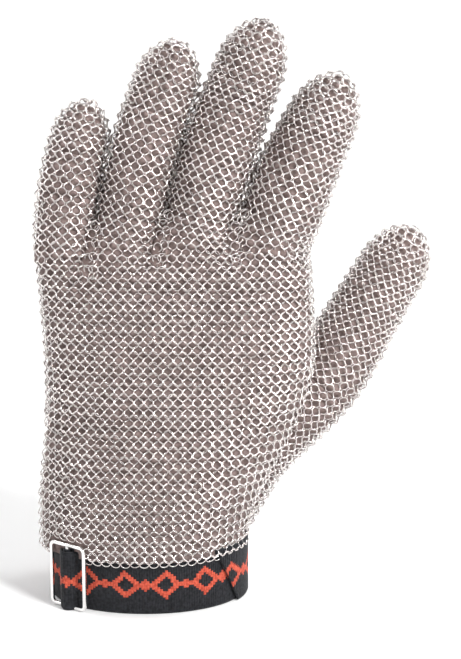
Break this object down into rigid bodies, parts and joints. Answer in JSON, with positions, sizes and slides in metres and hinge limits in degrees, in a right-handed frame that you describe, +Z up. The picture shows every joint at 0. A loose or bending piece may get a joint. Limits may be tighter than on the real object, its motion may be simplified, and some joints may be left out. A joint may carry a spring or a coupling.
{
  "type": "ring-mesh cut resistant glove",
  "caption": "Left-hand glove of interlinked stainless wire rings with jointed finger and thumb sections, a webbing wrist strap and a slide buckle.",
  "frame": {"origin": "centre of the wrist opening, in the plane of the strap's lower edge", "axes": "+Z up the hand to the fingertips, +X to the thumb side, +Y to the palm side, so -Y is the back of the hand"},
  "size_m": [0.1651, 0.0755, 0.241],
  "materials": {
    "ring_mesh": "bright annealed stainless wire rings",
    "webbing": "ribbed nylon webbing",
    "thread": "sewing thread",
    "buckle": "polished nickel plate"
  },
  "bodies": {
    "hand": {"back_panel": "ring_mesh", "palm_panel": "ring_mesh", "wrist_strap": "webbing", "strap_tail": "webbing", "strap_loop": "webbing", "strap_stitching": "thread", "link_rings": "ring_mesh", "cuff_ring": "ring_mesh"},
    "index_proximal": {"index_proximal": "ring_mesh"},
    "index_middle": {"index_middle": "ring_mesh"},
    "index_distal": {"index_distal": "ring_mesh"},
    "middle_proximal": {"middle_proximal": "ring_mesh"},
    "middle_middle": {"middle_middle": "ring_mesh"},
    "middle_distal": {"middle_distal": "ring_mesh"},
    "ring_proximal": {"ring_proximal": "ring_mesh"},
    "ring_middle": {"ring_middle": "ring_mesh"},
    "ring_distal": {"ring_distal": "ring_mesh"},
    "little_proximal": {"little_proximal": "ring_mesh"},
    "little_middle": {"little_middle": "ring_mesh"},
    "little_distal": {"little_distal": "ring_mesh"},
    "thumb_base": {"thumb_base": "ring_mesh"},
    "thumb_proximal": {"thumb_proximal": "ring_mesh"},
    "thumb_distal": {"thumb_distal": "ring_mesh"},
    "slide_buckle": {"slide_buckle": "buckle"}
  },
  "joints": [
    {"name": "index_mcp", "type": "hinge", "parent": "hand", "child": "index_proximal", "pos_m": [0.053, 0, 0.155], "axis": [-0.9336, 0, 0.3584], "range_deg": [-3, 75]},
    {"name": "index_pip", "type": "hinge", "parent": "index_proximal", "child": "index_middle", "pos_m": [0.06452, 0.00169, 0.18502], "axis": [-0.8988, 0, 0.4384], "range_deg": [-6, 75]},
    {"name": "index_dip", "type": "hinge", "parent": "index_middle", "child": "index_distal", "pos_m": [0.07271, 0.00464, 0.2018], "axis": [-0.866, 0, 0.5], "range_deg": [-6, 45]},
    {"name": "middle_mcp", "type": "hinge", "parent": "hand", "child": "middle_proximal", "pos_m": [0.022, 0, 0.157], "axis": [-0.9613, 0, 0.2756], "range_deg": [-3, 75]},
    {"name": "middle_pip", "type": "hinge", "parent": "middle_proximal", "child": "middle_middle", "pos_m": [0.03327, 0.00214, 0.1963], "axis": [-0.9336, 0, 0.3584], "range_deg": [-6, 75]},
    {"name": "middle_dip", "type": "hinge", "parent": "middle_middle", "child": "middle_distal", "pos_m": [0.04177, 0.0059, 0.21846], "axis": [-0.9063, 0, 0.4226], "range_deg": [-6, 45]},
    {"name": "ring_mcp", "type": "hinge", "parent": "hand", "child": "ring_proximal", "pos_m": [-0.007, 0, 0.155], "axis": [-0.9744, 0, 0.225], "range_deg": [-3, 75]},
    {"name": "ring_pip", "type": "hinge", "parent": "ring_proximal", "child": "ring_middle", "pos_m": [0.00147, 0.00197, 0.1917], "axis": [-0.9511, 0, 0.309], "range_deg": [-6, 75]},
    {"name": "ring_dip", "type": "hinge", "parent": "ring_middle", "child": "ring_distal", "pos_m": [0.00823, 0.00544, 0.2125], "axis": [-0.9272, 0, 0.3746], "range_deg": [-6, 45]},
    {"name": "little_mcp", "type": "hinge", "parent": "hand", "child": "little_proximal", "pos_m": [-0.033, 0, 0.151], "axis": [-0.9903, 0, 0.1392], "range_deg": [-3, 75]},
    {"name": "little_pip", "type": "hinge", "parent": "little_proximal", "child": "little_middle", "pos_m": [-0.02916, 0.00144, 0.17829], "axis": [-0.9744, 0, 0.225], "range_deg": [-6, 75]},
    {"name": "little_dip", "type": "hinge", "parent": "little_middle", "child": "little_distal", "pos_m": [-0.02557, 0.00398, 0.19388], "axis": [-0.9563, 0, 0.2924], "range_deg": [-6, 45]},
    {"name": "thumb_cmc", "type": "hinge", "parent": "hand", "child": "thumb_base", "pos_m": [0.044, 0.01, 0.057], "axis": [-0.7314, 0, 0.682], "range_deg": [0, 20]},
    {"name": "thumb_mcp", "type": "hinge", "parent": "thumb_base", "child": "thumb_proximal", "pos_m": [0.07825, 0.01886, 0.09373], "axis": [-0.8387, 0, 0.5446], "range_deg": [-5, 50]},
    {"name": "thumb_ip", "type": "hinge", "parent": "thumb_proximal", "child": "thumb_distal", "pos_m": [0.09728, 0.02756, 0.12303], "axis": [-0.866, 0, 0.5], "range_deg": [-8, 60]},
    {"name": "buckle_tilt", "type": "hinge", "parent": "hand", "child": "slide_buckle", "pos_m": [-0.03222, -0.02105, 0.0143], "axis": [0, 0, 1], "range_deg": [-10, 10]}
  ]
}
